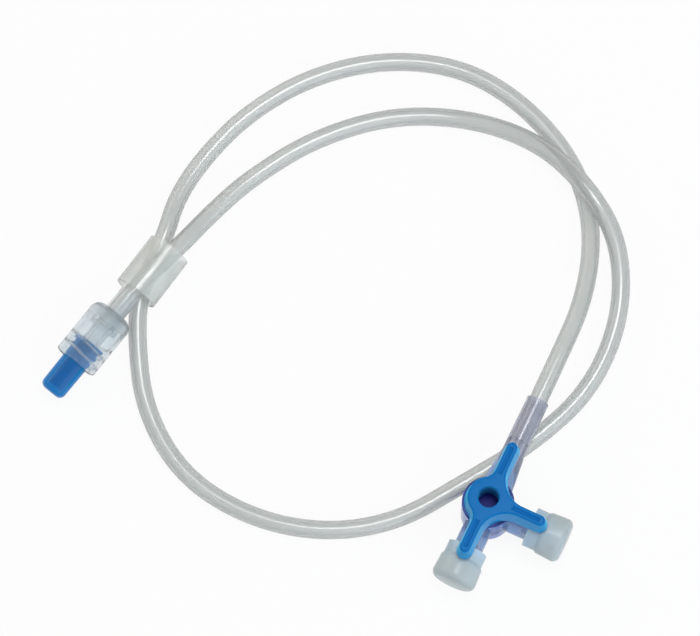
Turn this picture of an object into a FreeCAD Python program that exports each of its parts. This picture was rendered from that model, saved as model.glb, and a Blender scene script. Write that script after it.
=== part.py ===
import FreeCAD, Part
import math
import os
import re

import Sketcher
from FreeCAD import Placement, Rotation, Vector

# Three way stopcock with its extension line.
# Origin: the barrel's axis on the table. +Z is up, the tube port points along +Y,
# the side port along +X and the end port along -Y. Millimetres and degrees.

SIZES = {
    # barrel of the stopcock
    "barrel_diameter": 11.5,
    "barrel_height": 12.4,
    "barrel_edge": 0.4,
    "port_drop": 5.2,
    "bore_top": 7.6,
    "bore_bottom": 7.2,
    "foot_recess_diameter": 9.0,
    "foot_recess_depth": 1.4,
    "channel_diameter": 2.4,
    # tube port
    "tube_port_reach": 26.4,
    "tube_port_root": 5.4,
    "tube_port_mouth": 5.0,
    "tube_socket_depth": 10.2,
    "flare_diameter": 8.0,
    "flare_reach": 13.0,
    # female conical ports
    "luer_port_reach": 17.1,
    "luer_port_diameter": 6.4,
    "luer_mouth": 4.3,
    "luer_socket_depth": 8.0,
    "luer_taper": 0.06,
    "luer_clearance": 0.04,
    "lug_span": 7.8,
    "lug_width": 2.8,
    "lug_thickness": 1.1,
    # tap handle
    "handle_gap": 0.35,
    "handle_height": 4.6,
    "handle_draft": 8.0,
    "handle_edge": 0.45,
    "hub_diameter": 10.4,
    "hub_blend": 2.4,
    "arm_reach": 14.0,
    "arm_width": 3.6,
    "web_radius": 5.8,
    "recess_diameter": 4.6,
    "recess_depth": 6.8,
    "recess_edge": 0.2,
    "groove_radius": 0.7,
    "groove_depth": 0.22,
    "groove_start": 5.6,
    "groove_end": 12.2,
    # spindle under the handle
    "spindle_clearance": 0.04,
    "spindle_core_depth": 4.2,
    "snap_diameter": 7.9,
    "snap_height": 0.8,
    "snap_lead": 0.3,
    "snap_clearance": 0.1,
    # caps on the female ports
    "cap_start": 10.3,
    "cap_skirt_diameter": 8.9,
    "cap_skirt_length": 2.8,
    "cap_step": 0.5,
    "cap_shoulder_diameter": 9.6,
    "cap_end_diameter": 10.2,
    "cap_end_wall": 1.5,
    "cap_rounding": 1.5,
    "cap_lug_clearance": 0.12,
    "cap_face_clearance": 0.2,
    "cap_plug_length": 5.5,
    # extension tube and the sleeve round its two strands
    "tube_diameter": 4.1,
    "tube_clearance": 0.03,
    "sleeve_diameter": 10.1,
    "sleeve_wall": 0.3,
    "sleeve_length": 12.5,
    "sleeve_x": -89.75,
    "sleeve_y": 17.4,
    "sleeve_turn": 11.2,
    "sleeve_edge": 0.15,
    # male connector on the tube's far end
    "tail_diameter": 4.8,
    "tail_length": 5.5,
    "tail_socket_end": 4.0,
    "hub_ring_diameter": 6.8,
    "hub_ring_length": 3.4,
    "male_tip": 3.95,
    "male_reach": 12.6,
    "male_bore": 2.4,
    # lock collar round the male connector
    "collar_diameter": 10.2,
    "collar_length": 14.2,
    "collar_wall": 0.8,
    "collar_back_wall": 1.3,
    "collar_shoulder": 2.3,
    "collar_lip": 0.7,
    "collar_clearance": 0.1,
    # blue cap on the male connector
    "blue_cap_start": 8.8,
    "blue_cap_reach": 22.7,
    "blue_cap_root": 6.2,
    "blue_cap_end": 6.0,
    "blue_cap_end_wall": 1.6,
    "blue_cap_rounding": 1.5,
    "blue_lug_span": 7.4,
    "blue_lug_thickness": 1.0,
    "blue_ring_span": 6.9,
    "blue_ring_thickness": 0.7,
    "blue_ring_gap": 1.0,
}
# Sizes that follow others: the ports keep their distance below the barrel's rim.
FOLLOWING_SIZES = {
    "port_height": "=barrel_height - port_drop",
}

# The extension tube's route over the table from the tube port's mouth on: one loop round,
# over its own first strand, through the sleeve twice and into the male connector.
TUBE_ROUTE = [
    (0, 35, 7.2),
    (-0.55, 53.5, 4.6),
    (-6.3, 70, 2.05),
    (-16.5, 81.2, 2.05),
    (-32, 88.5, 2.05),
    (-47.9, 90.3, 2.05),
    (-64.1, 84.8, 2.05),
    (-77.6, 74.1, 2.05),
    (-86.8, 60.2, 2.05),
    (-91.2, 46.9, 2.05),
    (-92.6, 35.5, 2.8),
    (-90.8, 25.8, 4.1),
    (-90.75, 12.65, 2.65),
    (-86.7, 2.6, 2.4),
    (-78.15, -11.15, 2.05),
    (-64.25, -21.1, 2.05),
    (-47, -23.4, 2.05),
    (-30.25, -19.5, 2.05),
    (-16.7, -10.2, 2.05),
    (-7.1, 4, 2.05),
    (2.5, 18.4, 2.05),
    (9.2, 35, 2.05),
    (8.4, 53, 2.05),
    (1.1, 67.8, 4.4),
    (-10.5, 75.6, 7.3),
    (-24.5, 81.1, 4.4),
    (-40.9, 80.4, 2.05),
    (-57.3, 73.55, 2.05),
    (-70.8, 61.2, 2.05),
    (-80, 46.2, 2.3),
    (-84.2, 34.55, 3.7),
    (-86.8, 24.35, 6.4),
    (-90.55, 14.51, 7.7),
    (-93.83, 1.17, 6.35),
]
# The share of the shorter run beside it that an arc of the route takes.
ARC_SHARE = 0.45

UPRIGHT = Rotation()
ALONG_X = Rotation(Vector(0, 1, 0), 90)
ALONG_Y = Rotation(Vector(1, 0, 0), -90)
AGAINST_Y = Rotation(Vector(1, 0, 0), 90)

# The sketcher's numbers for a sketch's own axes and for the points of its geometry.
HORIZONTAL_AXIS, VERTICAL_AXIS = range(-1, -3, -1)
START, END, CENTRE = range(1, 4)

doc = FreeCAD.newDocument("three_way_stopcock")
sheet = doc.addObject("Spreadsheet::Sheet", "Sizes")
sheet_sizes = SIZES | FOLLOWING_SIZES
for row, (alias, number) in enumerate(sheet_sizes.items(), start=1):
    sheet.set(f"A{row}", alias)
    sheet.set(f"B{row}", str(number))
    sheet.setAlias(f"B{row}", alias)
doc.recompute()


def formula(text):
    """An expression on the sheet's cells: every alias in the text gets the sheet's name."""
    return re.sub(r"[a-z]\w*", lambda word: "Sizes." * (word[0] in sheet_sizes) + word[0], text)


def value(text):
    return float(sheet.evalExpression(formula(text)))


def bind(thing, **properties):
    for name, text in properties.items():
        thing.setExpression(name, formula(text))


def new_body(label):
    body = doc.addObject("PartDesign::Body", label)
    body.Label = label
    return body


def origin_plane(body, role):
    return next(plane for plane in body.Origin.OriginFeatures if plane.Role == role)


def primitive(body, kind, name, rotation=UPRIGHT, base=("0", "0", "0"), **sizes):
    """An additive or subtractive primitive of a body, its sizes and its place bound to the sheet."""
    feature = body.newObject("PartDesign::" + kind, name)
    feature.Placement = Placement(Vector(), rotation)
    for axis, text in zip("xyz", base):
        if text != "0":
            feature.setExpression("Placement.Base." + axis, formula(text))
    bind(feature, **sizes)
    doc.recompute()
    return feature


def near(first, second):
    return abs(first - second) < 1e-4


def rounded(body, name, feature, radius, picks):
    """Round the edges of a feature that picks(edge) chooses."""
    edges = [f"Edge{number}" for number, edge in enumerate(feature.Shape.Edges, start=1) if picks(edge)]
    fillet = body.newObject("PartDesign::Fillet", name)
    fillet.Base = (feature, edges)
    fillet.setExpression("Radius", formula(radius))
    doc.recompute()
    return fillet


def circle_at(radius, height):
    """Picks the circle of a turned shape that has these formulas' radius and height."""
    wanted_radius, wanted_height = value(radius), value(height)

    def picks(edge):
        curve = edge.Curve
        if not isinstance(curve, Part.Circle):
            return False
        return near(curve.Radius, wanted_radius) and near(curve.Center.z, wanted_height)

    return picks


def hold(sketch, kind, geometry, point, text, axis):
    """Hold a point of a sketch at a formula's distance from the origin, or on an axis for 0."""
    if text == "0":
        sketch.addConstraint(Sketcher.Constraint("PointOnObject", geometry, point, axis))
        return
    distance = value(text)
    index = sketch.addConstraint(
        Sketcher.Constraint(kind, HORIZONTAL_AXIS, START, geometry, point, distance)
    )
    sketch.setExpression(f"Constraints[{index}]", formula(text))


def turned(body, name, outline):
    """A solid turned about the body's Z axis, from a closed outline of (radius, height) formulas."""
    sketch = body.newObject("Sketcher::SketchObject", name + "_outline")
    sketch.AttachmentSupport = [(origin_plane(body, "XZ_Plane"), "")]
    sketch.MapMode = "FlatFace"
    corners = [Vector(value(radius), value(height), 0) for radius, height in outline]
    for start, end in zip(corners, corners[1:] + corners[:1]):
        sketch.addGeometry(Part.LineSegment(start, end))
    for line in range(len(corners)):
        following = (line + 1) % len(corners)
        sketch.addConstraint(Sketcher.Constraint("Coincident", line, END, following, START))
    for line, (radius, height) in enumerate(outline):
        hold(sketch, "DistanceX", line, START, radius, VERTICAL_AXIS)
        hold(sketch, "DistanceY", line, START, height, HORIZONTAL_AXIS)
    doc.recompute()
    revolution = body.newObject("PartDesign::Revolution", name)
    revolution.Profile = (sketch, [])
    revolution.ReferenceAxis = (sketch, ["V_Axis"])
    revolution.Angle = 360
    doc.recompute()
    return revolution


# Stopcock body: barrel, tube port and two female ports in one clear moulding.

def on_port(rotation, *local):
    """The body's formulas of a place on a port, from the formulas across, upright and along it."""
    place = ["0", "0", "port_height"]
    for unit, text in zip((Vector(1, 0, 0), Vector(0, 1, 0), Vector(0, 0, 1)), local):
        image = rotation.multVec(unit)
        axis = max(range(3), key=lambda index: abs(image[index]))
        if text != "0":
            signed = f"({text})" if image[axis] > 0 else f"-({text})"
            place[axis] = signed if place[axis] == "0" else f"{place[axis]} + {signed}"
    return place


def female_port(body, name, rotation):
    """The neck of one female port with the two lugs at its mouth."""
    primitive(
        body, "AdditiveCylinder", name + "_neck", rotation, on_port(rotation),
        Radius="luer_port_diameter / 2", Height="luer_port_reach",
    )
    lug_length = "sqrt(lug_span ^ 2 - lug_width ^ 2)"
    lug_corner = (f"-{lug_length} / 2", "-lug_width / 2", "luer_port_reach - lug_thickness")
    primitive(
        body, "AdditiveBox", name + "_lugs", rotation, on_port(rotation, *lug_corner),
        Length=lug_length, Width="lug_width", Height="lug_thickness",
    )


def female_socket(body, name, rotation):
    """The conical socket of one female port and its flow channel."""
    floor = on_port(rotation, "0", "0", "luer_port_reach - luer_socket_depth")
    primitive(
        body, "SubtractiveCone", name + "_socket", rotation, floor,
        Radius1="(luer_mouth - luer_taper * luer_socket_depth) / 2",
        Radius2="luer_mouth / 2", Height="luer_socket_depth",
    )
    primitive(
        body, "SubtractiveCylinder", name + "_channel", rotation, on_port(rotation),
        Radius="channel_diameter / 2", Height="luer_port_reach",
    )


def make_stopcock_body():
    body = new_body("stopcock_body")
    barrel = primitive(
        body, "AdditiveCylinder", "barrel", Radius="barrel_diameter / 2", Height="barrel_height"
    )
    barrel_rim = circle_at("barrel_diameter / 2", "barrel_height")
    barrel_foot = circle_at("barrel_diameter / 2", "0")
    rounded(body, "barrel_edges", barrel, "barrel_edge", lambda edge: barrel_rim(edge) or barrel_foot(edge))
    primitive(
        body, "AdditiveCone", "tube_port", ALONG_Y, on_port(ALONG_Y),
        Radius1="tube_port_root / 2", Radius2="tube_port_mouth / 2", Height="tube_port_reach",
    )
    primitive(
        body, "AdditiveCone", "tube_port_flare", ALONG_Y, on_port(ALONG_Y),
        Radius1="flare_diameter / 2", Radius2="tube_port_root / 2", Height="flare_reach",
    )
    female_port(body, "side_port", ALONG_X)
    female_port(body, "end_port", AGAINST_Y)
    primitive(
        body, "SubtractiveCone", "spindle_bore",
        Radius1="bore_bottom / 2", Radius2="bore_top / 2", Height="barrel_height",
    )
    primitive(
        body, "SubtractiveCylinder", "foot_recess",
        Radius="foot_recess_diameter / 2", Height="foot_recess_depth",
    )
    primitive(
        body, "SubtractiveCylinder", "tube_socket", ALONG_Y,
        on_port(ALONG_Y, "0", "0", "tube_port_reach - tube_socket_depth"),
        Radius="tube_diameter / 2 + tube_clearance", Height="tube_socket_depth",
    )
    primitive(
        body, "SubtractiveCylinder", "tube_port_channel", ALONG_Y, on_port(ALONG_Y),
        Radius="channel_diameter / 2", Height="tube_port_reach",
    )
    female_socket(body, "side_port", ALONG_X)
    female_socket(body, "end_port", AGAINST_Y)
    return body


# Tap handle and spindle: one blue moulding that turns in the barrel.

def handle_outline(body):
    """The handle's T outline: three round-tipped arms, two wide webs and a round back."""
    half, reach, web = value("arm_width / 2"), value("arm_reach - arm_width / 2"), value("web_radius")
    hub, blend = value("hub_diameter / 2"), value("hub_blend")
    corner = half + web
    blend_side = half + blend
    blend_height = math.sqrt((hub + blend) ** 2 - blend_side ** 2)
    meeting = math.atan2(blend_height, -blend_side)
    quarter, z_axis = math.pi / 2, Vector(0, 0, 1)

    def arc(x, y, radius, first, last):
        return Part.ArcOfCircle(Part.Circle(Vector(x, y, 0), z_axis, radius), first, last)

    def line(x_start, y_start, x_end, y_end):
        return Part.LineSegment(Vector(x_start, y_start, 0), Vector(x_end, y_end, 0))

    pieces = [
        arc(reach, 0, half, -quarter, quarter),
        line(reach, half, corner, half),
        arc(corner, corner, web, 2 * quarter, 3 * quarter),
        line(half, corner, half, reach),
        arc(0, reach, half, 0, 2 * quarter),
        line(-half, reach, -half, blend_height),
        arc(-blend_side, blend_height, blend, meeting - 2 * quarter, 0),
        arc(0, 0, hub, meeting, 4 * quarter - meeting),
        arc(-blend_side, -blend_height, blend, 0, 2 * quarter - meeting),
        line(-half, -blend_height, -half, -reach),
        arc(0, -reach, half, 2 * quarter, 4 * quarter),
        line(half, -reach, half, -corner),
        arc(corner, -corner, web, quarter, 2 * quarter),
        line(corner, -half, reach, -half),
    ]
    joints = [
        (0, END, 1, START), (1, END, 2, END), (2, START, 3, START), (3, END, 4, START),
        (4, END, 5, START), (5, END, 6, END), (6, START, 7, START), (7, END, 8, END),
        (8, START, 9, START), (9, END, 10, START), (10, END, 11, START), (11, END, 12, END),
        (12, START, 13, START), (13, END, 0, START),
    ]
    side_tip, upper_web, upper_tip, upper_blend, back, lower_blend, lower_tip, lower_web = (
        0, 2, 4, 6, 7, 8, 10, 12
    )
    sketch = body.newObject("Sketcher::SketchObject", "handle_outline")
    sketch.AttachmentSupport = [(origin_plane(body, "XY_Plane"), "")]
    sketch.MapMode = "FlatFace"
    sketch.setExpression("AttachmentOffset.Base.z", formula("barrel_height + handle_gap"))
    for piece in pieces:
        sketch.addGeometry(piece)
    for first, first_end, second, second_end in joints:
        sketch.addConstraint(Sketcher.Constraint("Tangent", first, first_end, second, second_end))
    for level in (1, 13):
        sketch.addConstraint(Sketcher.Constraint("Horizontal", level))
    for plumb in (3, 5, 9, 11):
        sketch.addConstraint(Sketcher.Constraint("Vertical", plumb))
    sketch.addConstraint(Sketcher.Constraint("Coincident", back, CENTRE, HORIZONTAL_AXIS, START))
    hold(sketch, "DistanceX", side_tip, CENTRE, "arm_reach - arm_width / 2", VERTICAL_AXIS)
    hold(sketch, "DistanceY", side_tip, CENTRE, "0", HORIZONTAL_AXIS)
    for tip, text in ((upper_tip, "arm_reach - arm_width / 2"), (lower_tip, "arm_width / 2 - arm_reach")):
        hold(sketch, "DistanceX", tip, CENTRE, "0", VERTICAL_AXIS)
        hold(sketch, "DistanceY", tip, CENTRE, text, HORIZONTAL_AXIS)
    radii = [(tip, "arm_width / 2") for tip in (side_tip, upper_tip, lower_tip)]
    radii += [(upper_web, "web_radius"), (lower_web, "web_radius")]
    radii += [(upper_blend, "hub_blend"), (lower_blend, "hub_blend"), (back, "hub_diameter / 2")]
    for geometry, text in radii:
        index = sketch.addConstraint(Sketcher.Constraint("Radius", geometry, value(text)))
        sketch.setExpression(f"Constraints[{index}]", formula(text))
    doc.recompute()
    return sketch


def spindle_radius(height):
    """The spindle's radius at a height: the barrel's tapered bore less the running clearance."""
    return f"bore_bottom / 2 + (bore_top - bore_bottom) / 2 * ({height}) / barrel_height - spindle_clearance"


def make_tap_handle():
    body = new_body("tap_handle")
    handle_foot = "barrel_height + handle_gap"
    handle_top = handle_foot + " + handle_height"
    pad = body.newObject("PartDesign::Pad", "handle")
    pad.Profile = (handle_outline(body), [])
    bind(pad, Length="handle_height", TaperAngle="-handle_draft")
    doc.recompute()
    top = value(handle_top)
    rounded(
        body, "handle_edges", pad, "handle_edge",
        lambda edge: all(near(vertex.Z, top) for vertex in edge.Vertexes) and near(edge.BoundBox.ZMin, top),
    )
    snap_top = "foot_recess_depth - snap_clearance"
    snap_foot = snap_top + " - snap_height"
    turned(body, "spindle", [
        ("0", snap_foot),
        ("snap_diameter / 2 - snap_lead", snap_foot),
        ("snap_diameter / 2", snap_foot + " + snap_lead"),
        ("snap_diameter / 2", snap_top),
        (spindle_radius(snap_top), snap_top),
        (spindle_radius("barrel_height"), "barrel_height"),
        (spindle_radius("barrel_height"), handle_foot + " + handle_height / 4"),
        ("0", handle_foot + " + handle_height / 4"),
    ])
    primitive(
        body, "SubtractiveCylinder", "recess", UPRIGHT, ("0", "0", handle_top + " - recess_depth"),
        Radius="recess_diameter / 2", Height="recess_depth",
    )
    primitive(
        body, "SubtractiveCone", "recess_lead", UPRIGHT, ("0", "0", handle_top + " - recess_edge"),
        Radius1="recess_diameter / 2", Radius2="recess_diameter / 2 + recess_edge", Height="recess_edge",
    )
    primitive(
        body, "SubtractiveCylinder", "spindle_core", UPRIGHT, ("0", "0", snap_foot),
        Radius="recess_diameter / 2", Height="spindle_core_depth",
    )
    primitive(
        body, "SubtractiveCylinder", "spindle_through_channel", ALONG_Y,
        ("0", "-bore_top / 2", "port_height"), Radius="channel_diameter / 2", Height="bore_top",
    )
    primitive(
        body, "SubtractiveCylinder", "spindle_side_channel", ALONG_X, ("0", "0", "port_height"),
        Radius="channel_diameter / 2", Height="bore_top / 2",
    )
    groove_height = handle_top + " + groove_radius - groove_depth"
    for arm, rotation, base in (
        ("side", ALONG_X, ("groove_start", "0", groove_height)),
        ("upper", ALONG_Y, ("0", "groove_start", groove_height)),
        ("lower", AGAINST_Y, ("0", "-groove_start", groove_height)),
    ):
        primitive(
            body, "SubtractiveCylinder", arm + "_arm_groove", rotation, base,
            Radius="groove_radius", Height="groove_end - groove_start",
        )
    return body


# Caps of the two female ports, alike, each with a conical plug inside.

def make_port_cap(label, rotation, direction):
    body = new_body(label)
    length = "(luer_port_reach + cap_face_clearance + cap_end_wall - cap_start)"
    floor = f"({length} - cap_end_wall)"
    plug_tip = f"({floor} - cap_face_clearance - cap_plug_length)"
    bore = "(lug_span / 2 + cap_lug_clearance)"
    shell = turned(body, label + "_shell", [
        (bore, "0"),
        ("cap_skirt_diameter / 2", "0"),
        ("cap_skirt_diameter / 2", "cap_skirt_length"),
        ("cap_shoulder_diameter / 2", "cap_skirt_length + cap_step"),
        ("cap_end_diameter / 2", length),
        ("0", length),
        ("0", plug_tip),
        ("luer_mouth / 2 - luer_taper * cap_plug_length / 2 - luer_clearance", plug_tip),
        ("luer_mouth / 2 - luer_clearance", f"{floor} - cap_face_clearance"),
        ("luer_mouth / 2 - luer_clearance", floor),
        (bore, floor),
    ])
    rounded(body, label + "_end", shell, "cap_rounding", circle_at("cap_end_diameter / 2", length))
    body.Placement = Placement(Vector(), rotation)
    body.setExpression("Placement.Base." + direction[-1], formula(direction[0] + "cap_start"))
    body.setExpression("Placement.Base.z", formula("port_height"))
    doc.recompute()
    return body


# Extension tube: straight runs joined by tangent arcs, swept with the tube's section.

def route_path(points, share):
    """The wire along a route of points and the radius of its arc at each inner point."""
    edges, radii = [], []
    run_start = points[0]
    for before, corner, after in zip(points, points[1:], points[2:]):
        back, ahead = before - corner, after - corner
        shorter = min(back.Length, ahead.Length)
        turn = math.pi - back.getAngle(ahead)
        cut = share * shorter
        radius = cut / math.tan(turn / 2)
        back.normalize()
        ahead.normalize()
        middle = (back + ahead).normalize()
        arc_start, arc_end = corner + back * cut, corner + ahead * cut
        arc_middle = corner + middle * (math.hypot(radius, cut) - radius)
        edges.append(Part.LineSegment(run_start, arc_start).toShape())
        edges.append(Part.Arc(arc_start, arc_middle, arc_end).toShape())
        radii.append(radius)
        run_start = arc_end
    edges.append(Part.LineSegment(run_start, points[-1]).toShape())
    return Part.Wire(edges), radii


def make_extension_tube():
    tube = doc.addObject("Part::Feature", "extension_tube")
    tube.Label = "extension_tube"
    socket_floor = Vector(0, value("tube_port_reach - tube_socket_depth"), value("port_height"))
    points = [socket_floor] + [Vector(*point) for point in TUBE_ROUTE]
    path, radii = route_path(points, ARC_SHARE)
    radius = value("tube_diameter / 2")
    section = Part.Wire(Part.makeCircle(radius, points[0], points[1] - points[0]))
    tube.Shape = path.makePipeShell([section], True, False)
    tube.Placement = Placement()
    expected = math.pi * radius ** 2 * path.Length
    print("tube arc radii:", " ".join(f"{arc:.1f}" for arc in radii))
    print(f"tube length {path.Length:.1f}, volume {tube.Shape.Volume:.1f}, section x length {expected:.1f}")
    return tube


# Sleeve: a soft ring that holds the line's two strands side by side.

def make_coil_sleeve():
    body = new_body("coil_sleeve")
    ring = turned(body, "sleeve_ring", [
        ("sleeve_diameter / 2 - sleeve_wall", "-sleeve_length / 2"),
        ("sleeve_diameter / 2", "-sleeve_length / 2"),
        ("sleeve_diameter / 2", "sleeve_length / 2"),
        ("sleeve_diameter / 2 - sleeve_wall", "sleeve_length / 2"),
    ])
    ends = [circle_at("sleeve_diameter / 2", "-sleeve_length / 2"),
            circle_at("sleeve_diameter / 2", "sleeve_length / 2")]
    rounded(body, "sleeve_edges", ring, "sleeve_edge", lambda edge: any(end(edge) for end in ends))
    turn = math.radians(value("sleeve_turn"))
    along = Vector(-math.sin(turn), -math.cos(turn), 0)
    body.Placement = Placement(Vector(), Rotation(Vector(0, 0, 1), along))
    for axis, text in (("x", "sleeve_x"), ("y", "sleeve_y"), ("z", "sleeve_diameter / 2")):
        body.setExpression("Placement.Base." + axis, formula(text))
    doc.recompute()
    return body


# Male connector, its lock collar and its blue cap, in line with the tube's last run.
# Their heights run from the collar's back face, at 0, towards its mouth.

def connector_placement():
    before, end = Vector(*TUBE_ROUTE[-2]), Vector(*TUBE_ROUTE[-1])
    along = (end - before).normalize()
    return Placement(end - along * value("tail_socket_end"), Rotation(Vector(0, 0, 1), along))


def male_radius(height):
    """The male cone's radius at a height."""
    return f"(male_tip / 2 + luer_taper / 2 * (male_reach - ({height})))"


HUB_RING_START = "(collar_back_wall + collar_clearance)"
HUB_RING_END = f"({HUB_RING_START} + hub_ring_length)"


def make_male_luer():
    body = new_body("male_luer")
    tube_bore = "tube_diameter / 2 + tube_clearance"
    turned(body, "male_luer_hub", [
        (tube_bore, "-tail_length"),
        ("tail_diameter / 2", "-tail_length"),
        ("tail_diameter / 2", HUB_RING_START),
        ("hub_ring_diameter / 2", HUB_RING_START),
        ("hub_ring_diameter / 2", HUB_RING_END),
        (male_radius(HUB_RING_END), HUB_RING_END),
        ("male_tip / 2", "male_reach"),
        ("male_bore / 2", "male_reach"),
        ("male_bore / 2", "tail_socket_end"),
        (tube_bore, "tail_socket_end"),
    ])
    body.Placement = connector_placement()
    return body


def make_lock_collar():
    body = new_body("lock_collar")
    inside = "collar_diameter / 2 - collar_wall"
    neck = "tail_diameter / 2 + collar_clearance"
    shell = turned(body, "collar_shell", [
        (neck, "0"),
        ("collar_diameter / 2", "0"),
        ("collar_diameter / 2", "collar_length"),
        (inside, "collar_length"),
        (inside, "collar_back_wall"),
        (neck, "collar_back_wall"),
    ])
    shoulder = rounded(body, "collar_shoulder", shell, "collar_shoulder", circle_at("collar_diameter / 2", "0"))
    rounded(body, "collar_lip", shoulder, "collar_lip", circle_at("collar_diameter / 2", "collar_length"))
    body.Placement = connector_placement()
    return body


def make_luer_cap():
    body = new_body("luer_cap")
    lug_end = "blue_cap_start + blue_lug_thickness"
    ring_start = lug_end + " + blue_ring_gap"
    ring_end = ring_start + " + blue_ring_thickness"
    floor = "blue_cap_reach - blue_cap_end_wall"
    shell = turned(body, "luer_cap_shell", [
        (male_radius("blue_cap_start") + " + luer_clearance", "blue_cap_start"),
        ("blue_lug_span / 2", "blue_cap_start"),
        ("blue_lug_span / 2", lug_end),
        ("blue_cap_root / 2", lug_end),
        ("blue_cap_root / 2", ring_start),
        ("blue_ring_span / 2", ring_start),
        ("blue_ring_span / 2", ring_end),
        ("blue_cap_root / 2", ring_end),
        ("blue_cap_root / 2", "collar_length"),
        ("blue_cap_end / 2", "blue_cap_reach"),
        ("0", "blue_cap_reach"),
        ("0", floor),
        (male_radius(floor) + " + luer_clearance", floor),
    ])
    rounded(body, "luer_cap_end", shell, "blue_cap_rounding", circle_at("blue_cap_end / 2", "blue_cap_reach"))
    body.Placement = connector_placement()
    return body


parts = [
    make_stopcock_body(),
    make_tap_handle(),
    make_port_cap("side_port_cap", ALONG_X, ("", "x")),
    make_port_cap("end_port_cap", AGAINST_Y, ("-", "y")),
    make_extension_tube(),
    make_coil_sleeve(),
    make_male_luer(),
    make_lock_collar(),
    make_luer_cap(),
]
doc.recompute()

for thing in doc.Objects:
    if "Invalid" in thing.State or "Error" in thing.State:
        raise RuntimeError(f"{thing.Label} failed: {thing.State}")
for part in parts:
    if part.Shape.isNull() or not part.Shape.isValid() or len(part.Shape.Solids) != 1:
        raise RuntimeError(f"{part.Label} isn't one valid solid")

os.makedirs("parts", exist_ok=True)
for part in parts:
    part.Shape.exportStep(f"parts/{part.Label}.step")
    box = part.Shape.optimalBoundingBox(False)
    print(
        f"{part.Label}: volume {part.Shape.Volume:.1f}, x {box.XMin:.2f} to {box.XMax:.2f}, "
        f"y {box.YMin:.2f} to {box.YMax:.2f}, z {box.ZMin:.2f} to {box.ZMax:.2f}"
    )
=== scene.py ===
import math

import bmesh
import bpy
from mathutils import Matrix, Vector


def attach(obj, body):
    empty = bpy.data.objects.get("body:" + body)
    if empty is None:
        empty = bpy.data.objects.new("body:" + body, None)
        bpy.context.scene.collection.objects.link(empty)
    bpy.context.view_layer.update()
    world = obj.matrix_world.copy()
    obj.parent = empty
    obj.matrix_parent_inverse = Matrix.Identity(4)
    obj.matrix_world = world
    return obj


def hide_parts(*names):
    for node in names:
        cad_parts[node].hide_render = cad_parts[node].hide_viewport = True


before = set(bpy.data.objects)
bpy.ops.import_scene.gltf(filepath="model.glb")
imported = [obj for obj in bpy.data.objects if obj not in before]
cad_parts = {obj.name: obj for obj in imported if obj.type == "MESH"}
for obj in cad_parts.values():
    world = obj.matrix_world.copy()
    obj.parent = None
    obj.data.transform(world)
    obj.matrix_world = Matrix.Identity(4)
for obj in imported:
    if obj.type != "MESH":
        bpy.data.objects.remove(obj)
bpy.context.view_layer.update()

# The extension line's route in metres, from the floor of the tube port's socket to the
# floor of the male connector's socket.
LINE_ROUTE = [
    (0, 0.0162, 0.0072),
    (0, 0.035, 0.0072),
    (-0.00055, 0.0535, 0.0046),
    (-0.0063, 0.07, 0.00205),
    (-0.0165, 0.0812, 0.00205),
    (-0.032, 0.0885, 0.00205),
    (-0.0479, 0.0903, 0.00205),
    (-0.0641, 0.0848, 0.00205),
    (-0.0776, 0.0741, 0.00205),
    (-0.0868, 0.0602, 0.00205),
    (-0.0912, 0.0469, 0.00205),
    (-0.0926, 0.0355, 0.0028),
    (-0.0908, 0.0258, 0.0041),
    (-0.09075, 0.01265, 0.00265),
    (-0.0867, 0.0026, 0.0024),
    (-0.07815, -0.01115, 0.00205),
    (-0.06425, -0.0211, 0.00205),
    (-0.047, -0.0234, 0.00205),
    (-0.03025, -0.0195, 0.00205),
    (-0.0167, -0.0102, 0.00205),
    (-0.0071, 0.004, 0.00205),
    (0.0025, 0.0184, 0.00205),
    (0.0092, 0.035, 0.00205),
    (0.0084, 0.053, 0.00205),
    (0.0011, 0.0678, 0.0044),
    (-0.0105, 0.0756, 0.0073),
    (-0.0245, 0.0811, 0.0044),
    (-0.0409, 0.0804, 0.00205),
    (-0.0573, 0.07355, 0.00205),
    (-0.0708, 0.0612, 0.00205),
    (-0.08, 0.0462, 0.0023),
    (-0.0842, 0.03455, 0.0037),
    (-0.0868, 0.02435, 0.0064),
    (-0.09055, 0.01451, 0.0077),
    (-0.09383, 0.00117, 0.00635),
]
LINE_DIAMETER = 0.0041
LINE_BORE = 0.0027
LINE_SIDES = 40
LINE_STEPS = 14
LINE_END_WALL = 0.0004

# The stopcock, in metres. BARREL_REACH lies just outside the barrel's wall.
PORT_HEIGHT = 0.0072
PORT_THREAD_START = 0.0114
PORT_THREAD = {"radius": 0.0032, "ridge_radius": 0.0005, "height": 0.0042, "turns": 1.6}
BARREL_REACH = 0.0059
HANDLE_TOP = 0.01735
GROOVE_DEPTH = 0.00023
GROOVE_HALF_WIDTH = 0.00054
GROOVE_START = 0.0055
LEVEL_FACE = 1e-6

# The connector on the line's far end, in metres from its back along its axis.
TAIL_SOCKET_END = 0.004
COLLAR_LENGTH = 0.0142
COLLAR_THREAD_START = 0.0075
COLLAR_THREAD = {"radius": 0.00428, "ridge_radius": 0.00032, "height": 0.0055, "turns": 2.2}
CONNECTOR_AXIS = (Vector(LINE_ROUTE[-1]) - Vector(LINE_ROUTE[-2])).normalized()
CONNECTOR_BACK = Vector(LINE_ROUTE[-1]) - CONNECTOR_AXIS * TAIL_SOCKET_END

# The angles in degrees from which on an edge is shaded sharp.
SOLID_CREASE = 34
LINE_CREASE = 40
THREAD_CREASE = 50
WELD_DISTANCE = 1e-6
THREAD_STEPS = 48
THREAD_SIDES = 10

# What the materials share: the contrast of the clouds, the seen angle from which on an
# edge is glossy, and the share of the axis along which frost fades.
CLOUD_CONTRAST = (0.35, 0.65)
EDGE_ANGLES = (0.35, 0.65)
FROST_FADE = (0.15, 0.55)
GRAIN_SCALE = 2500
RELIEF_DISTANCE = 0.0001
COAT_ROUGHNESS = 0.05

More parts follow.
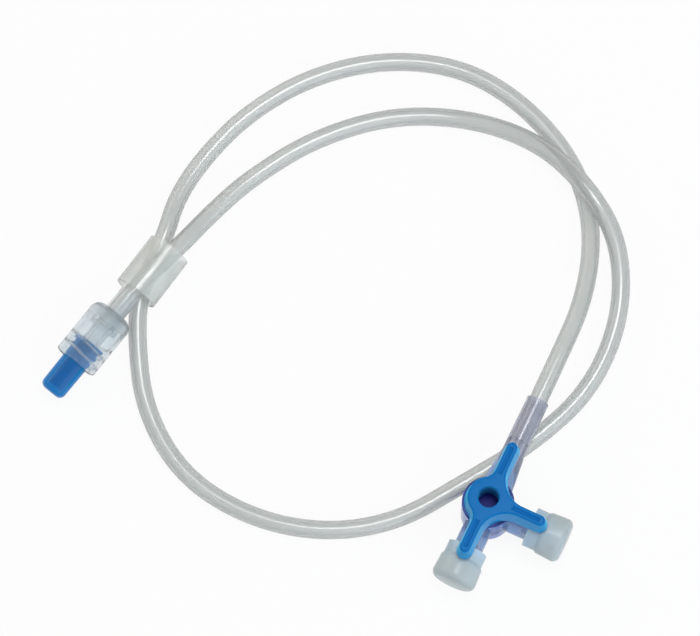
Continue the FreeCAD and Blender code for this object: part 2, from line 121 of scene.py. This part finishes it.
# The sockets of a Mix node that mixes colours.
MIX_FROM, MIX_TO, MIX_RESULT = 6, 7, 2


# Shared surface effects.

def group_socket(group, name, direction, kind, value=None):
    socket = group.interface.new_socket(name=name, in_out=direction, socket_type=kind)
    if value is not None:
        socket.default_value = value


def math_node(nodes, operation, clamp=False):
    node = nodes.new("ShaderNodeMath")
    node.operation = operation
    node.use_clamp = clamp
    return node


def range_node(nodes, start, end):
    """A Map Range node for values from start to end."""
    node = nodes.new("ShaderNodeMapRange")
    node.inputs["From Min"].default_value = start
    node.inputs["From Max"].default_value = end
    return node


def colour_mix(nodes, links, share, start, end):
    """The socket of a colour that goes from one socket to another by a share."""
    node = nodes.new("ShaderNodeMix")
    node.data_type = "RGBA"
    links.new(share, node.inputs["Factor"])
    links.new(start, node.inputs[MIX_FROM])
    if isinstance(end, tuple):
        node.inputs[MIX_TO].default_value = (*end, 1)
    else:
        links.new(end, node.inputs[MIX_TO])
    return node.outputs[MIX_RESULT]


def make_moulded_surface():
    """Faint clouds in the colour and a fine grain in the gloss, as moulded plastic has."""
    group = bpy.data.node_groups.new("moulded_surface", "ShaderNodeTree")
    group_socket(group, "Colour", "INPUT", "NodeSocketColor", (0.8, 0.8, 0.8, 1))
    group_socket(group, "Cloud Colour", "INPUT", "NodeSocketColor", (0.7, 0.7, 0.7, 1))
    group_socket(group, "Cloud Share", "INPUT", "NodeSocketFloat", 0.5)
    group_socket(group, "Cloud Scale", "INPUT", "NodeSocketFloat", 120.0)
    group_socket(group, "Roughness", "INPUT", "NodeSocketFloat", 0.2)
    group_socket(group, "Roughness Spread", "INPUT", "NodeSocketFloat", 0.05)
    group_socket(group, "Grain Scale", "INPUT", "NodeSocketFloat", 2500.0)
    group_socket(group, "Colour", "OUTPUT", "NodeSocketColor")
    group_socket(group, "Roughness", "OUTPUT", "NodeSocketFloat")
    group_socket(group, "Height", "OUTPUT", "NodeSocketFloat")
    nodes, links = group.nodes, group.links
    given = nodes.new("NodeGroupInput")
    result = nodes.new("NodeGroupOutput")
    place = nodes.new("ShaderNodeTexCoord")
    clouds = nodes.new("ShaderNodeTexNoise")
    clouds.inputs["Detail"].default_value = 2.0
    grain = nodes.new("ShaderNodeTexNoise")
    grain.inputs["Detail"].default_value = 1.0
    links.new(place.outputs["Object"], clouds.inputs["Vector"])
    links.new(place.outputs["Object"], grain.inputs["Vector"])
    links.new(given.outputs["Cloud Scale"], clouds.inputs["Scale"])
    links.new(given.outputs["Grain Scale"], grain.inputs["Scale"])
    contrast = range_node(nodes, *CLOUD_CONTRAST)
    share = math_node(nodes, "MULTIPLY")
    links.new(clouds.outputs["Fac"], contrast.inputs["Value"])
    links.new(contrast.outputs["Result"], share.inputs[0])
    links.new(given.outputs["Cloud Share"], share.inputs[1])
    clouded = colour_mix(
        nodes, links, share.outputs["Value"], given.outputs["Colour"], given.outputs["Cloud Colour"],
    )
    links.new(clouded, result.inputs["Colour"])
    centred = math_node(nodes, "SUBTRACT")
    centred.inputs[1].default_value = 0.5
    spread = math_node(nodes, "MULTIPLY_ADD")
    links.new(grain.outputs["Fac"], centred.inputs[0])
    links.new(centred.outputs["Value"], spread.inputs[0])
    links.new(given.outputs["Roughness Spread"], spread.inputs[1])
    links.new(given.outputs["Roughness"], spread.inputs[2])
    links.new(spread.outputs["Value"], result.inputs["Roughness"])
    links.new(grain.outputs["Fac"], result.inputs["Height"])
    return group


def make_round_zone():
    """1 within a radius of the tap's axis and between two heights, 0 elsewhere."""
    group = bpy.data.node_groups.new("round_zone", "ShaderNodeTree")
    group_socket(group, "Radius", "INPUT", "NodeSocketFloat", 0.0024)
    group_socket(group, "Above", "INPUT", "NodeSocketFloat", 0.0)
    group_socket(group, "Below", "INPUT", "NodeSocketFloat", 1.0)
    group_socket(group, "Softness", "INPUT", "NodeSocketFloat", 0.0001)
    group_socket(group, "Mask", "OUTPUT", "NodeSocketFloat")
    nodes, links = group.nodes, group.links
    given = nodes.new("NodeGroupInput")
    result = nodes.new("NodeGroupOutput")
    place = nodes.new("ShaderNodeTexCoord")
    split = nodes.new("ShaderNodeSeparateXYZ")
    links.new(place.outputs["Object"], split.inputs["Vector"])
    flat = nodes.new("ShaderNodeCombineXYZ")
    links.new(split.outputs["X"], flat.inputs["X"])
    links.new(split.outputs["Y"], flat.inputs["Y"])
    reach = nodes.new("ShaderNodeVectorMath")
    reach.operation = "LENGTH"
    links.new(flat.outputs["Vector"], reach.inputs[0])

    def step(larger, smaller):
        gap = math_node(nodes, "SUBTRACT")
        links.new(larger, gap.inputs[0])
        links.new(smaller, gap.inputs[1])
        ramp = math_node(nodes, "DIVIDE", clamp=True)
        links.new(gap.outputs["Value"], ramp.inputs[0])
        links.new(given.outputs["Softness"], ramp.inputs[1])
        return ramp.outputs["Value"]

    def both(first, second):
        product = math_node(nodes, "MULTIPLY")
        links.new(first, product.inputs[0])
        links.new(second, product.inputs[1])
        return product.outputs["Value"]

    inside = step(given.outputs["Radius"], reach.outputs["Value"])
    above = step(split.outputs["Z"], given.outputs["Above"])
    below = step(given.outputs["Below"], split.outputs["Z"])
    links.new(both(both(inside, above), below), result.inputs["Mask"])
    return group


MOULDED_SURFACE = make_moulded_surface()
ROUND_ZONE = make_round_zone()


def plastic(
    name, colour, cloud_colour, cloud_share=0.4, cloud_scale=120, roughness=0.2, spread=0.06,
    bump=0.02, transmission=0.0, ior=1.5, coat=0.0, shadow_share=0.0, zones=(),
    depth_colour=None, depth=0.0, specular=0.5, edge_gloss=0.0, frost=None,
    sheen=0.0, sheen_colour=(1, 1, 1),
):
    """A moulded plastic. shadow_share of the lamps' light goes straight through it; zones are
    (radius, above, below, softness, colour) round the tap's axis that have another colour;
    depth, per metre, darkens the light that passes through towards depth_colour; edge_gloss is
    the coat on what is seen edge on; frost is the roughness at the start of the along_axis
    attribute, from which it fades to the plain one."""
    material = bpy.data.materials.new(name)
    material.use_nodes = True
    nodes, links = material.node_tree.nodes, material.node_tree.links
    shader = nodes["Principled BSDF"]
    surface = nodes.new("ShaderNodeGroup")
    surface.node_tree = MOULDED_SURFACE
    surface.inputs["Colour"].default_value = (*colour, 1)
    surface.inputs["Cloud Colour"].default_value = (*cloud_colour, 1)
    surface.inputs["Cloud Share"].default_value = cloud_share
    surface.inputs["Cloud Scale"].default_value = cloud_scale
    surface.inputs["Roughness"].default_value = roughness
    surface.inputs["Roughness Spread"].default_value = spread
    surface.inputs["Grain Scale"].default_value = GRAIN_SCALE
    colour_socket = surface.outputs["Colour"]
    for radius, above, below, softness, zone_colour in zones:
        zone = nodes.new("ShaderNodeGroup")
        zone.node_tree = ROUND_ZONE
        zone.inputs["Radius"].default_value = radius
        zone.inputs["Above"].default_value = above
        zone.inputs["Below"].default_value = below
        zone.inputs["Softness"].default_value = softness
        colour_socket = colour_mix(nodes, links, zone.outputs["Mask"], colour_socket, zone_colour)
    links.new(colour_socket, shader.inputs["Base Color"])
    links.new(surface.outputs["Roughness"], shader.inputs["Roughness"])
    if frost:
        along = nodes.new("ShaderNodeAttribute")
        along.attribute_name = "along_axis"
        fade = range_node(nodes, *FROST_FADE)
        fade.interpolation_type = "SMOOTHSTEP"
        fade.inputs["To Min"].default_value = frost
        fade.inputs["To Max"].default_value = 0.0
        links.new(along.outputs["Fac"], fade.inputs["Value"])
        frosted = math_node(nodes, "MAXIMUM")
        links.new(surface.outputs["Roughness"], frosted.inputs[0])
        links.new(fade.outputs["Result"], frosted.inputs[1])
        links.new(frosted.outputs["Value"], shader.inputs["Roughness"])
    relief = nodes.new("ShaderNodeBump")
    relief.inputs["Strength"].default_value = bump
    relief.inputs["Distance"].default_value = RELIEF_DISTANCE
    links.new(surface.outputs["Height"], relief.inputs["Height"])
    links.new(relief.outputs["Normal"], shader.inputs["Normal"])
    shader.inputs["IOR"].default_value = ior
    shader.inputs["Transmission Weight"].default_value = transmission
    shader.inputs["Specular IOR Level"].default_value = specular
    shader.inputs["Coat Weight"].default_value = coat
    shader.inputs["Coat Roughness"].default_value = COAT_ROUGHNESS
    shader.inputs["Sheen Weight"].default_value = sheen
    shader.inputs["Sheen Tint"].default_value = (*sheen_colour, 1)
    if edge_gloss:
        facing = nodes.new("ShaderNodeLayerWeight")
        gloss = range_node(nodes, *EDGE_ANGLES)
        gloss.inputs["To Max"].default_value = edge_gloss
        links.new(facing.outputs["Facing"], gloss.inputs["Value"])
        links.new(gloss.outputs["Result"], shader.inputs["Coat Weight"])
    if depth:
        inside = nodes.new("ShaderNodeVolumeAbsorption")
        inside.inputs["Color"].default_value = (*depth_colour, 1)
        inside.inputs["Density"].default_value = depth
        links.new(inside.outputs["Volume"], nodes["Material Output"].inputs["Volume"])
    if shadow_share:
        rays = nodes.new("ShaderNodeLightPath")
        share = math_node(nodes, "MULTIPLY")
        share.inputs[1].default_value = shadow_share
        links.new(rays.outputs["Is Shadow Ray"], share.inputs[0])
        clear = nodes.new("ShaderNodeBsdfTransparent")
        mix = nodes.new("ShaderNodeMixShader")
        links.new(share.outputs["Value"], mix.inputs["Fac"])
        links.new(shader.outputs["BSDF"], mix.inputs[1])
        links.new(clear.outputs["BSDF"], mix.inputs[2])
        links.new(mix.outputs["Shader"], nodes["Material Output"].inputs["Surface"])
    return material


CLEAR_BODY = plastic(
    "clear_violet_body", (0.66, 0.67, 0.74), (0.55, 0.56, 0.66), cloud_share=0.5, transmission=0.82,
    roughness=0.2, bump=0.0, ior=1.38, shadow_share=0.8, depth_colour=(0.57, 0.61, 0.72), depth=280,
    zones=((0.0120, -0.001, 0.0128, 0.004, (0.36, 0.56, 0.86)),),
)
# The band at the top of the barrel, just under the handle, is painted dark violet: painted shade.
VIOLET_BARREL = plastic(
    "clear_violet_barrel", (0.20, 0.34, 0.68), (0.13, 0.22, 0.58), cloud_share=0.7, cloud_scale=300,
    transmission=0.72, roughness=0.1, bump=0.0, ior=1.12, shadow_share=0.7,
    zones=((0.0070, 0.0120, 0.0128, 0.0001, (0.045, 0.07, 0.28)),),
)
# The zone paints the hub's recess round the tap's axis, walls included, a dark blue-violet: painted
# shade in the hollow.
AZURE_HANDLE = plastic(
    "azure_handle", (0.001, 0.150, 0.47), (0.002, 0.170, 0.52), roughness=0.3, specular=0.06,
    edge_gloss=0.2, sheen=1.0, sheen_colour=(0.05, 0.62, 1.0),
    zones=((0.0024, 0.0075, 0.0172, 0.0001, (0.018, 0.023, 0.30)),),
)
# The walls of the grooves along the arms are a darker azure than the handle: painted shade in the
# groove.
AZURE_GROOVE_SHADE = plastic(
    "azure_groove_painted_shade", (0.001, 0.135, 0.44), (0.002, 0.15, 0.48), roughness=0.35, specular=0.06,
)
CAP_PLASTIC = plastic(
    "natural_cap", (0.66, 0.76, 0.80), (0.60, 0.66, 0.65), cloud_share=0.7, transmission=0.45,
    roughness=0.38, coat=0.1, shadow_share=0.5,
    zones=((0.0155, -0.001, 0.02, 0.004, (0.61, 0.77, 0.88)),),
)
CLEAR_LINE = plastic(
    "clear_soft_line", (0.79, 0.81, 0.80), (0.75, 0.78, 0.77), transmission=0.85, roughness=0.22,
    spread=0.02, bump=0.0, ior=1.53, coat=0.15, shadow_share=0.75,
    depth_colour=(0.56, 0.575, 0.58), depth=330,
)
SLEEVE_FILM = plastic(
    "milky_sleeve", (0.83, 0.85, 0.83), (0.74, 0.77, 0.76), cloud_share=0.6, cloud_scale=260,
    transmission=0.8, roughness=0.22, spread=0.02, bump=0.0, ior=1.4, shadow_share=0.85,
)
CLEAR_CONNECTOR = plastic(
    "clear_connector", (0.88, 0.90, 0.91), (0.82, 0.86, 0.88), transmission=0.9, roughness=0.14,
    bump=0.0, ior=1.42, shadow_share=0.85, depth_colour=(0.62, 0.66, 0.68), depth=190,
)
FROSTED_COLLAR = plastic(
    "frosted_collar", (0.88, 0.91, 0.93), (0.80, 0.85, 0.88), cloud_share=0.7, cloud_scale=300,
    transmission=0.97, roughness=0.08, bump=0.0, ior=1.27, shadow_share=0.9,
    depth_colour=(0.60, 0.65, 0.68), depth=185, frost=0.3,
)
BLUE_CAP = plastic(
    "clear_blue_cap", (0.000, 0.29, 0.61), (0.000, 0.23, 0.53), transmission=0.75, coat=0.25,
    roughness=0.08, bump=0.0, ior=1.2, shadow_share=0.5, depth_colour=(0.005, 0.5, 0.86), depth=180,
)


# Helpers for the pieces.

def add_piece(name, mesh, body, nodes=()):
    piece = bpy.data.objects.new(name, mesh)
    bpy.context.scene.collection.objects.link(piece)
    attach(piece, body)
    if nodes:
        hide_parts(*nodes)
    return piece


def smooth_by_angle(mesh, degrees):
    mesh.polygons.foreach_set("use_smooth", [True] * len(mesh.polygons))
    mesh.set_sharp_from_angle(angle=math.radians(degrees))
    mesh.update()


def paint_faces(mesh, material, picks):
    """Give the faces whose corners picks chooses a further material."""
    mesh.materials.append(material)
    for face in mesh.polygons:
        if picks([mesh.vertices[index].co for index in face.vertices]):
            face.material_index = len(mesh.materials) - 1


def in_arm_groove(corners):
    """Whether a face of the handle lies in the groove along the top of an arm."""
    heights = [at.z for at in corners]
    if min(heights) < HANDLE_TOP - GROOVE_DEPTH or max(heights) - min(heights) < LEVEL_FACE:
        return False
    across = [min(abs(at.x), abs(at.y)) for at in corners]
    nearest = min(at.xy.length for at in corners)
    return max(across) < GROOVE_HALF_WIDTH and nearest > GROOVE_START


def on_barrel(corners):
    """Whether a face of the stopcock's body belongs to the barrel."""
    return max(at.xy.length for at in corners) < BARREL_REACH


def set_along_axis(mesh, back, axis, length):
    """The share of a length along an axis, from its back, as a number on each vertex."""
    along = mesh.attributes.new("along_axis", "FLOAT", "POINT")
    for vertex in mesh.vertices:
        along.data[vertex.index].value = (vertex.co - back).dot(axis) / length


def dressed(name, node, body, material):
    """A copy of a frame node's mesh, welded and shaded smooth, that stands for the node."""
    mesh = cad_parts[node].data.copy()
    mesh.name = name
    if "custom_normal" in mesh.attributes:
        mesh.attributes.remove(mesh.attributes["custom_normal"])
    work = bmesh.new()
    work.from_mesh(mesh)
    bmesh.ops.remove_doubles(work, verts=work.verts, dist=WELD_DISTANCE)
    work.to_mesh(mesh)
    work.free()
    mesh.materials.clear()
    mesh.materials.append(material)
    smooth_by_angle(mesh, SOLID_CREASE)
    return add_piece(name, mesh, body, (node,))


def named_input(tree, name):
    """The identifier of a tree's input."""
    return next(
        item.identifier for item in tree.interface.items_tree
        if item.item_type == "SOCKET" and item.in_out == "INPUT" and item.name == name
    )


def baked(source, tree, values):
    """The mesh that a geometry tree makes of an object, with the tree's named inputs set."""
    modifier = source.modifiers.new(tree.name, "NODES")
    modifier.node_group = tree
    for name, value in values.items():
        modifier[named_input(tree, name)] = value
    graph = bpy.context.evaluated_depsgraph_get()
    mesh = bpy.data.meshes.new_from_object(source.evaluated_get(graph), depsgraph=graph)
    source.modifiers.remove(modifier)
    return mesh


# Geometry trees.

def make_hollow_line():
    """A hollow tube along a curve: the outer wall, and the bore as a closed cavity."""
    tree = bpy.data.node_groups.new("hollow_line", "GeometryNodeTree")
    group_socket(tree, "Geometry", "INPUT", "NodeSocketGeometry")
    group_socket(tree, "Outer Radius", "INPUT", "NodeSocketFloat", 0.002)
    group_socket(tree, "Bore Radius", "INPUT", "NodeSocketFloat", 0.001)
    group_socket(tree, "Sides", "INPUT", "NodeSocketInt", 40)
    group_socket(tree, "End Wall", "INPUT", "NodeSocketFloat", 0.0002)
    group_socket(tree, "Material", "INPUT", "NodeSocketMaterial")
    group_socket(tree, "Geometry", "OUTPUT", "NodeSocketGeometry")
    nodes, links = tree.nodes, tree.links
    given = nodes.new("NodeGroupInput")
    result = nodes.new("NodeGroupOutput")

    def swept(curve, radius):
        section = nodes.new("GeometryNodeCurvePrimitiveCircle")
        links.new(given.outputs["Sides"], section.inputs["Resolution"])
        links.new(radius, section.inputs["Radius"])
        sweep = nodes.new("GeometryNodeCurveToMesh")
        sweep.inputs["Fill Caps"].default_value = True
        links.new(curve, sweep.inputs["Curve"])
        links.new(section.outputs["Curve"], sweep.inputs["Profile Curve"])
        return sweep.outputs["Mesh"]

    length = nodes.new("GeometryNodeCurveLength")
    links.new(given.outputs["Geometry"], length.inputs["Curve"])
    last = math_node(nodes, "SUBTRACT")
    links.new(length.outputs["Length"], last.inputs[0])
    links.new(given.outputs["End Wall"], last.inputs[1])
    trim = nodes.new("GeometryNodeTrimCurve")
    trim.mode = "LENGTH"
    links.new(given.outputs["Geometry"], trim.inputs["Curve"])
    starts = [socket for socket in trim.inputs if socket.name == "Start" and socket.enabled]
    ends = [socket for socket in trim.inputs if socket.name == "End" and socket.enabled]
    links.new(given.outputs["End Wall"], starts[-1])
    links.new(last.outputs["Value"], ends[-1])
    flip = nodes.new("GeometryNodeFlipFaces")
    links.new(swept(trim.outputs["Curve"], given.outputs["Bore Radius"]), flip.inputs["Mesh"])
    join = nodes.new("GeometryNodeJoinGeometry")
    outer_wall = swept(given.outputs["Geometry"], given.outputs["Outer Radius"])
    links.new(flip.outputs["Mesh"], join.inputs["Geometry"])
    links.new(outer_wall, join.inputs["Geometry"])
    realize = nodes.new("GeometryNodeRealizeInstances")
    links.new(join.outputs["Geometry"], realize.inputs["Geometry"])
    paint = nodes.new("GeometryNodeSetMaterial")
    links.new(realize.outputs["Geometry"], paint.inputs["Geometry"])
    links.new(given.outputs["Material"], paint.inputs["Material"])
    links.new(paint.outputs["Geometry"], result.inputs["Geometry"])
    return tree


def make_thread_ridge():
    """A round-backed ridge that winds up a cylinder, as a closed coil of wire."""
    tree = bpy.data.node_groups.new("thread_ridge", "GeometryNodeTree")
    group_socket(tree, "Geometry", "INPUT", "NodeSocketGeometry")
    group_socket(tree, "Radius", "INPUT", "NodeSocketFloat", 0.004)
    group_socket(tree, "Ridge Radius", "INPUT", "NodeSocketFloat", 0.0003)
    group_socket(tree, "Height", "INPUT", "NodeSocketFloat", 0.005)
    group_socket(tree, "Turns", "INPUT", "NodeSocketFloat", 2.0)
    group_socket(tree, "Material", "INPUT", "NodeSocketMaterial")
    group_socket(tree, "Geometry", "OUTPUT", "NodeSocketGeometry")
    nodes, links = tree.nodes, tree.links
    given = nodes.new("NodeGroupInput")
    result = nodes.new("NodeGroupOutput")
    helix = nodes.new("GeometryNodeCurveSpiral")
    helix.inputs["Resolution"].default_value = THREAD_STEPS
    links.new(given.outputs["Turns"], helix.inputs["Rotations"])
    links.new(given.outputs["Radius"], helix.inputs["Start Radius"])
    links.new(given.outputs["Radius"], helix.inputs["End Radius"])
    links.new(given.outputs["Height"], helix.inputs["Height"])
    section = nodes.new("GeometryNodeCurvePrimitiveCircle")
    section.inputs["Resolution"].default_value = THREAD_SIDES
    links.new(given.outputs["Ridge Radius"], section.inputs["Radius"])
    sweep = nodes.new("GeometryNodeCurveToMesh")
    sweep.inputs["Fill Caps"].default_value = True
    links.new(helix.outputs["Curve"], sweep.inputs["Curve"])
    links.new(section.outputs["Curve"], sweep.inputs["Profile Curve"])
    realize = nodes.new("GeometryNodeRealizeInstances")
    links.new(sweep.outputs["Mesh"], realize.inputs["Geometry"])
    paint = nodes.new("GeometryNodeSetMaterial")
    links.new(realize.outputs["Geometry"], paint.inputs["Geometry"])
    links.new(given.outputs["Material"], paint.inputs["Material"])
    links.new(paint.outputs["Geometry"], result.inputs["Geometry"])
    return tree


THREAD_RIDGE = make_thread_ridge()


def make_thread(name, body, material_slot, material, start, axis, **sizes):
    """A thread's ridge round an axis, from a start point on, on a body."""
    seed = bpy.data.objects.new(name + "_seed", bpy.data.meshes.new(name + "_seed"))
    bpy.context.scene.collection.objects.link(seed)
    values = {word.replace("_", " ").title(): size for word, size in sizes.items()}
    mesh = baked(seed, THREAD_RIDGE, {**values, "Material": material})
    bpy.data.objects.remove(seed)
    mesh.name = name
    mesh.transform(Matrix.Translation(start) @ axis.to_track_quat("Z", "Y").to_matrix().to_4x4())
    smooth_by_angle(mesh, THREAD_CREASE)
    return add_piece(name, mesh, body)


def make_line():
    """The extension line and the points along its centre."""
    curve = bpy.data.curves.new("line_route", "CURVE")
    curve.dimensions = "3D"
    curve.resolution_u = LINE_STEPS
    spline = curve.splines.new("NURBS")
    spline.points.add(len(LINE_ROUTE) - 1)
    for point, place in zip(spline.points, LINE_ROUTE):
        point.co = (*place, 1)
    spline.order_u = 3
    spline.use_endpoint_u = True
    route = bpy.data.objects.new("line_route", curve)
    bpy.context.scene.collection.objects.link(route)
    graph = bpy.context.evaluated_depsgraph_get()
    centre = bpy.data.meshes.new_from_object(route.evaluated_get(graph), depsgraph=graph)
    path = [tuple(vertex.co) for vertex in centre.vertices]
    bpy.data.meshes.remove(centre)
    mesh = baked(route, make_hollow_line(), {
        "Outer Radius": LINE_DIAMETER / 2,
        "Bore Radius": LINE_BORE / 2,
        "Sides": LINE_SIDES,
        "End Wall": LINE_END_WALL,
        "Material": CLEAR_LINE,
    })
    bpy.data.objects.remove(route)
    smooth_by_angle(mesh, LINE_CREASE)
    line = add_piece("extension_line", mesh, "stopcock", ("extension_tube",))
    return line, path


clear_body = dressed("clear_stopcock", "stopcock_body", "stopcock", CLEAR_BODY)
paint_faces(clear_body.data, VIOLET_BARREL, on_barrel)
handle = dressed("azure_tap_handle", "tap_handle", "tap", AZURE_HANDLE)
# The groove faces get the darker azure of painted shade.
paint_faces(handle.data, AZURE_GROOVE_SHADE, in_arm_groove)
for port_name, way in (("side_port", Vector((1, 0, 0))), ("end_port", Vector((0, -1, 0)))):
    make_thread(
        port_name + "_thread", "stopcock", "clear_body", CLEAR_BODY,
        Vector((0, 0, PORT_HEIGHT)) + way * PORT_THREAD_START, way, **PORT_THREAD,
    )
dressed("side_cap_shell", "side_port_cap", "side_cap", CAP_PLASTIC)
dressed("end_cap_shell", "end_port_cap", "end_cap", CAP_PLASTIC)
line, line_path = make_line()
sleeve = dressed("milky_coil_sleeve", "coil_sleeve", "stopcock", SLEEVE_FILM)
connector = dressed("clear_male_luer", "male_luer", "stopcock", CLEAR_CONNECTOR)
collar = dressed("clear_lock_collar", "lock_collar", "collar", FROSTED_COLLAR)
set_along_axis(collar.data, CONNECTOR_BACK, CONNECTOR_AXIS, COLLAR_LENGTH)
collar_thread = make_thread(
    "collar_thread", "collar", "clear_connector", CLEAR_CONNECTOR,
    CONNECTOR_BACK + CONNECTOR_AXIS * COLLAR_THREAD_START, CONNECTOR_AXIS, **COLLAR_THREAD,
)
blue_cap = dressed("clear_blue_luer_cap", "luer_cap", "blue_cap", BLUE_CAP)


# Studio: a pale floor, soft lamps and a white surround.

FLOOR_REACH, FLOOR_LEVEL = 6.0, -0.0001
FLOOR_COLOUR = (0.94, 0.94, 0.94)
FLOOR_WHITE_SHARE = 0.9
SURROUND_LIGHT, SURROUND_SEEN = 0.42, 1.0
LOOK_AT = Vector((-0.04618, 0.02754, 0))
CAMERA_DISTANCE = 1.2
CAMERA_AZIMUTH, CAMERA_ELEVATION = math.radians(25.18), math.radians(75.46)
CAMERA_LENS, SENSOR_WIDTH = 278, 36
CLIP_START, CLIP_END = 0.01, 50


def seen_rays(nodes, links):
    """1 for rays from the camera, a reflection or a clear piece, 0 for the others."""
    rays = nodes.new("ShaderNodeLightPath")
    total = rays.outputs["Is Camera Ray"]
    for name in ("Is Glossy Ray", "Is Transmission Ray"):
        add = math_node(nodes, "ADD", clamp=True)
        links.new(total, add.inputs[0])
        links.new(rays.outputs[name], add.inputs[1])
        total = add.outputs["Value"]
    return total


def make_floor():
    mesh = bpy.data.meshes.new("studio_floor")
    ways = ((-1, -1), (1, -1), (1, 1), (-1, 1))
    corners = [(x * FLOOR_REACH, y * FLOOR_REACH, FLOOR_LEVEL) for x, y in ways]
    mesh.from_pydata(corners, [], [(0, 1, 2, 3)])
    material = bpy.data.materials.new("pale_floor")
    material.use_nodes = True
    nodes, links = material.node_tree.nodes, material.node_tree.links
    nodes.remove(nodes["Principled BSDF"])
    matt = nodes.new("ShaderNodeBsdfDiffuse")
    matt.inputs["Color"].default_value = (*FLOOR_COLOUR, 1)
    white = nodes.new("ShaderNodeEmission")
    lift = math_node(nodes, "MULTIPLY")
    lift.inputs[1].default_value = FLOOR_WHITE_SHARE
    links.new(seen_rays(nodes, links), lift.inputs[0])
    mix = nodes.new("ShaderNodeMixShader")
    links.new(lift.outputs["Value"], mix.inputs["Fac"])
    links.new(matt.outputs["BSDF"], mix.inputs[1])
    links.new(white.outputs["Emission"], mix.inputs[2])
    links.new(mix.outputs["Shader"], nodes["Material Output"].inputs["Surface"])
    mesh.materials.append(material)
    floor = bpy.data.objects.new("studio_floor", mesh)
    bpy.context.scene.collection.objects.link(floor)


def make_world():
    world = bpy.data.worlds.new("studio_surround")
    world.use_nodes = True
    nodes, links = world.node_tree.nodes, world.node_tree.links
    background = nodes["Background"]
    background.inputs["Color"].default_value = (1, 1, 1, 1)
    strength = nodes.new("ShaderNodeMapRange")
    strength.inputs["To Min"].default_value = SURROUND_LIGHT
    strength.inputs["To Max"].default_value = SURROUND_SEEN
    links.new(seen_rays(nodes, links), strength.inputs["Value"])
    links.new(strength.outputs["Result"], background.inputs["Strength"])
    bpy.context.scene.world = world


def add_softbox(name, place, target, size, power, colour, turn):
    """A soft lamp that faces the target, turned about its beam by some degrees."""
    lamp = bpy.data.lights.new(name, "AREA")
    lamp.shape = "RECTANGLE"
    lamp.size, lamp.size_y = size
    lamp.energy = power
    lamp.color = colour
    softbox = bpy.data.objects.new(name, lamp)
    bpy.context.scene.collection.objects.link(softbox)
    aim = Vector(target) - Vector(place)
    facing = aim.to_track_quat("-Z", "Y").to_matrix().to_4x4()
    spin = Matrix.Rotation(math.radians(turn), 4, "Z")
    softbox.matrix_world = Matrix.Translation(place) @ facing @ spin


def make_camera():
    back = Vector((
        math.sin(CAMERA_AZIMUTH) * math.cos(CAMERA_ELEVATION),
        -math.cos(CAMERA_AZIMUTH) * math.cos(CAMERA_ELEVATION),
        math.sin(CAMERA_ELEVATION),
    ))
    right = Vector((math.cos(CAMERA_AZIMUTH), math.sin(CAMERA_AZIMUTH), 0))
    up = back.cross(right)
    data = bpy.data.cameras.new("photo_camera")
    data.lens = CAMERA_LENS
    data.sensor_width = SENSOR_WIDTH
    data.clip_start = CLIP_START
    data.clip_end = CLIP_END
    camera = bpy.data.objects.new("photo_camera", data)
    bpy.context.scene.collection.objects.link(camera)
    turn = Matrix((right, up, back)).transposed().to_4x4()
    camera.matrix_world = Matrix.Translation(LOOK_AT + back * CAMERA_DISTANCE) @ turn
    bpy.context.scene.camera = camera


make_floor()
make_world()
add_softbox("overhead", (0.017, 0.19, 1.1), LOOK_AT, (0.34, 0.34), 3.4, (1.0, 1.0, 1.0), 25)
add_softbox("cool_side", (0.75, -0.25, 0.45), LOOK_AT, (1.2, 0.9), 4.6, (0.78, 0.90, 1.0), 0)
add_softbox("warm_side", (-0.75, 0.30, 0.45), LOOK_AT, (0.8, 0.6), 1.7, (1.0, 0.92, 0.78), 0)
make_camera()
bpy.context.scene.view_settings.view_transform = "Standard"
